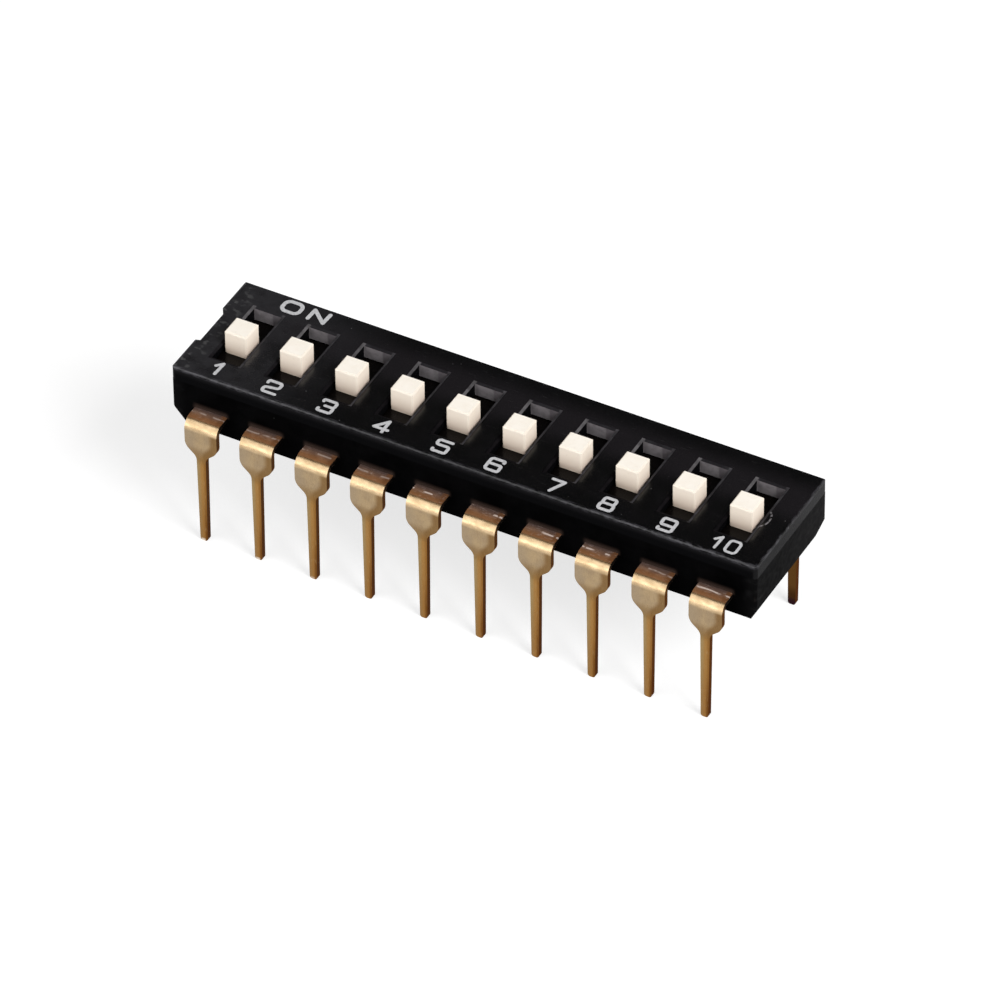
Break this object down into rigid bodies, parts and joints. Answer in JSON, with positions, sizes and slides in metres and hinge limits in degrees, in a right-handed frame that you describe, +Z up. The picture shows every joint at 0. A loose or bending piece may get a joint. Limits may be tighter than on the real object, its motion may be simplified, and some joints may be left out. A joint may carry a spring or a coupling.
{
  "type": "dip switch",
  "caption": "Black slide DIP switch with a row of cream square knobs in slots and two rows of gold-plated straight legs for a circuit board.",
  "frame": {"origin": "on the standing plane at the tips of the legs, at the middle of the leg pattern", "axes": "+X along the row from switch 1 to switch 10, +Y from the OFF side (printed numbers) to the ON side, +Z up out of the cover"},
  "size_m": [0.0264, 0.0078, 0.0086],
  "materials": {
    "base_plastic": "satin black moulding",
    "cover_plastic": "satin black moulding with worn edges and white print",
    "knob_plastic": "satin cream moulding",
    "carriage_plastic": "smooth black moulding",
    "contact_metal": "gold-plated spring strip",
    "terminal_metal": "gold-plated stamped strip"
  },
  "bodies": {
    "housing": {"base": "base_plastic", "cover": "cover_plastic", "terminal_front_01": "terminal_metal", "terminal_front_02": "terminal_metal", "terminal_front_03": "terminal_metal", "terminal_front_04": "terminal_metal", "terminal_front_05": "terminal_metal", "terminal_front_06": "terminal_metal", "terminal_front_07": "terminal_metal", "terminal_front_08": "terminal_metal", "terminal_front_09": "terminal_metal", "terminal_front_10": "terminal_metal", "terminal_back_01": "terminal_metal", "terminal_back_02": "terminal_metal", "terminal_back_03": "terminal_metal", "terminal_back_04": "terminal_metal", "terminal_back_05": "terminal_metal", "terminal_back_06": "terminal_metal", "terminal_back_07": "terminal_metal", "terminal_back_08": "terminal_metal", "terminal_back_09": "terminal_metal", "terminal_back_10": "terminal_metal"},
    "slider_01": {"knob_01": "knob_plastic", "carriage_01": "carriage_plastic", "contact_01": "contact_metal"},
    "slider_02": {"knob_02": "knob_plastic", "carriage_02": "carriage_plastic", "contact_02": "contact_metal"},
    "slider_03": {"knob_03": "knob_plastic", "carriage_03": "carriage_plastic", "contact_03": "contact_metal"},
    "slider_04": {"knob_04": "knob_plastic", "carriage_04": "carriage_plastic", "contact_04": "contact_metal"},
    "slider_05": {"knob_05": "knob_plastic", "carriage_05": "carriage_plastic", "contact_05": "contact_metal"},
    "slider_06": {"knob_06": "knob_plastic", "carriage_06": "carriage_plastic", "contact_06": "contact_metal"},
    "slider_07": {"knob_07": "knob_plastic", "carriage_07": "carriage_plastic", "contact_07": "contact_metal"},
    "slider_08": {"knob_08": "knob_plastic", "carriage_08": "carriage_plastic", "contact_08": "contact_metal"},
    "slider_09": {"knob_09": "knob_plastic", "carriage_09": "carriage_plastic", "contact_09": "contact_metal"},
    "slider_10": {"knob_10": "knob_plastic", "carriage_10": "carriage_plastic", "contact_10": "contact_metal"}
  },
  "joints": [
    {"name": "switch_01", "type": "slide", "parent": "housing", "child": "slider_01", "axis": [0, 1, 0], "range_m": [0, 0.0008]},
    {"name": "switch_02", "type": "slide", "parent": "housing", "child": "slider_02", "axis": [0, 1, 0], "range_m": [0, 0.0008]},
    {"name": "switch_03", "type": "slide", "parent": "housing", "child": "slider_03", "axis": [0, 1, 0], "range_m": [0, 0.0008]},
    {"name": "switch_04", "type": "slide", "parent": "housing", "child": "slider_04", "axis": [0, 1, 0], "range_m": [0, 0.0008]},
    {"name": "switch_05", "type": "slide", "parent": "housing", "child": "slider_05", "axis": [0, 1, 0], "range_m": [0, 0.0008]},
    {"name": "switch_06", "type": "slide", "parent": "housing", "child": "slider_06", "axis": [0, 1, 0], "range_m": [0, 0.0008]},
    {"name": "switch_07", "type": "slide", "parent": "housing", "child": "slider_07", "axis": [0, 1, 0], "range_m": [0, 0.0008]},
    {"name": "switch_08", "type": "slide", "parent": "housing", "child": "slider_08", "axis": [0, 1, 0], "range_m": [0, 0.0008]},
    {"name": "switch_09", "type": "slide", "parent": "housing", "child": "slider_09", "axis": [0, 1, 0], "range_m": [0, 0.0008]},
    {"name": "switch_10", "type": "slide", "parent": "housing", "child": "slider_10", "axis": [0, 1, 0], "range_m": [0, 0.0008]}
  ]
}
